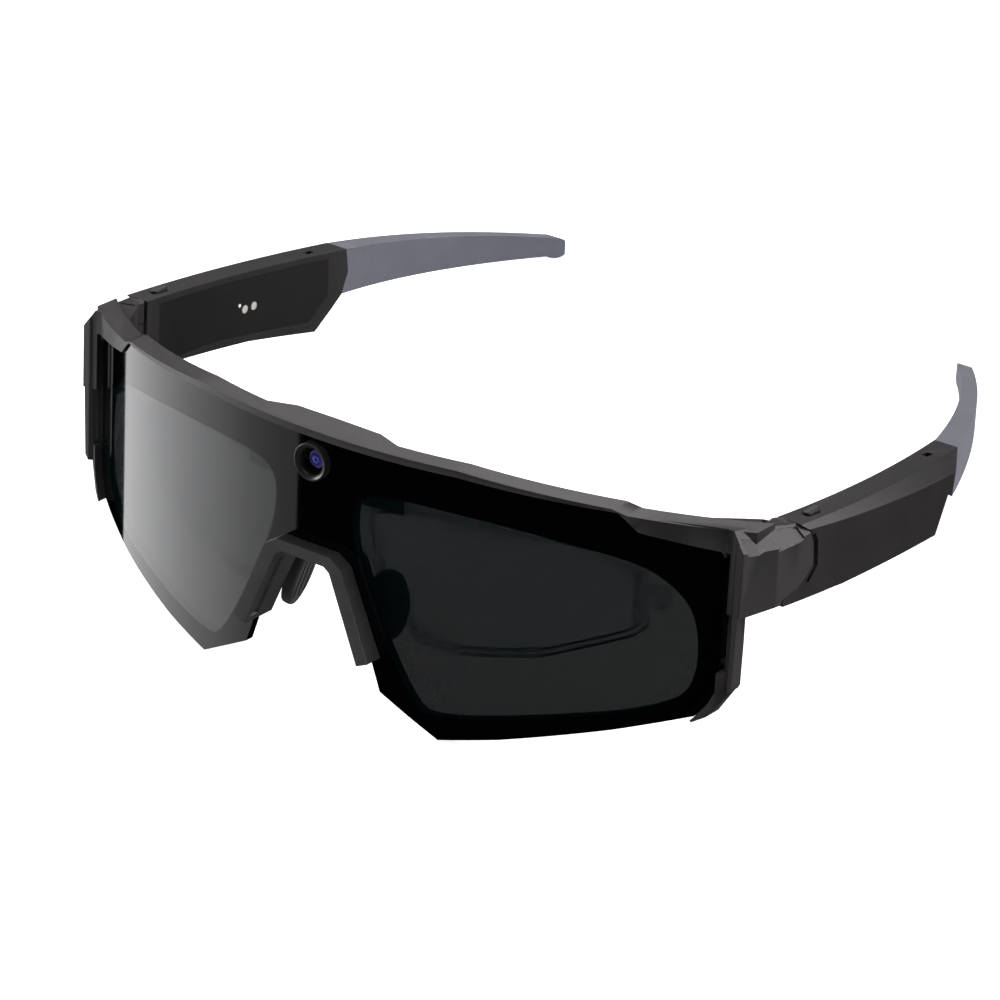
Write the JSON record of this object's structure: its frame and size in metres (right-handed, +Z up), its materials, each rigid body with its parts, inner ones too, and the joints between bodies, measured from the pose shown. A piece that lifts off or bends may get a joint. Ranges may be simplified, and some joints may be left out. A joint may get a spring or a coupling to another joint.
{
  "type": "smart glasses",
  "caption": "Wrap-shield camera sunglasses: half-rim front, folding electronics temples with rubber tips, nose pads, side buttons and a clip-in prescription insert.",
  "frame": {"origin": "centre of the bounding box at its bottom: the table that the glasses lie on", "axes": "+X to the wearer's left, along the longest side; -Y is the front, where the camera looks; +Z up, along the shortest side"},
  "size_m": [0.159, 0.146, 0.0536],
  "materials": {
    "frame_plastic": "fine matte",
    "shield_lens": "polished, dark",
    "camera_ring": "satin",
    "camera_glass": "coated",
    "inner_black": "matte",
    "circuit_board": "solder mask",
    "trim_gloss": "gloss",
    "pad_rubber": "matte",
    "tip_rubber": "soft matte",
    "carrier_clear": "clear",
    "rx_glass": "clear",
    "steel": "brushed",
    "cell_foil": "foil",
    "contact_metal": "plated",
    "light_pipe": "diffuse"
  },
  "bodies": {
    "front": {"front_frame": "frame_plastic", "shield_lens": "shield_lens", "camera_ring": "camera_ring", "camera_window": "camera_glass", "camera_barrel": "inner_black", "camera_lens": "camera_glass", "camera_board": "circuit_board", "camera_cover": "frame_plastic", "nose_trim": "trim_gloss", "nose_pad_left": "pad_rubber", "nose_pad_right": "pad_rubber", "hinge_screw_left": "steel", "hinge_screw_right": "steel"},
    "temple_left": {"temple_housing_left": "frame_plastic", "temple_cover_left": "frame_plastic", "hinge_leaf_left": "steel", "circuit_board_left": "circuit_board", "battery_left": "cell_foil", "speaker_left": "inner_black", "button_switch_left": "inner_black", "temple_tip_left": "tip_rubber", "tip_core_left": "steel"},
    "temple_right": {"temple_housing_right": "frame_plastic", "temple_cover_right": "frame_plastic", "hinge_leaf_right": "steel", "circuit_board_right": "circuit_board", "battery_right": "cell_foil", "speaker_right": "inner_black", "button_switch_right": "inner_black", "temple_tip_right": "tip_rubber", "tip_core_right": "steel", "charging_contact_front": "contact_metal", "charging_contact_rear": "contact_metal", "status_light": "light_pipe"},
    "button_left": {"side_button_left": "frame_plastic"},
    "button_right": {"side_button_right": "frame_plastic"},
    "carrier": {"rx_carrier": "carrier_clear", "rx_lens_left": "rx_glass", "rx_lens_right": "rx_glass"}
  },
  "joints": [
    {"name": "left_temple_fold", "type": "hinge", "parent": "front", "child": "temple_left", "pos_m": [0.0745, -0.02703, 0.03135], "axis": [0, 0.2376, 0.9714], "range_deg": [0, 84]},
    {"name": "right_temple_fold", "type": "hinge", "parent": "front", "child": "temple_right", "pos_m": [-0.0745, -0.02703, 0.03135], "axis": [0, -0.2376, -0.9714], "range_deg": [0, 70]},
    {"name": "left_button_press", "type": "slide", "parent": "temple_left", "child": "button_left", "axis": [0, -0.2376, -0.9714], "range_m": [0, 0.0004], "stiffness_N_per_m": 800},
    {"name": "right_button_press", "type": "slide", "parent": "temple_right", "child": "button_right", "axis": [0, -0.2376, -0.9714], "range_m": [0, 0.0004], "stiffness_N_per_m": 800},
    {"name": "carrier_release", "type": "slide", "parent": "front", "child": "carrier", "axis": [0, 0.9714, -0.2376], "range_m": [0, 0.006]}
  ]
}
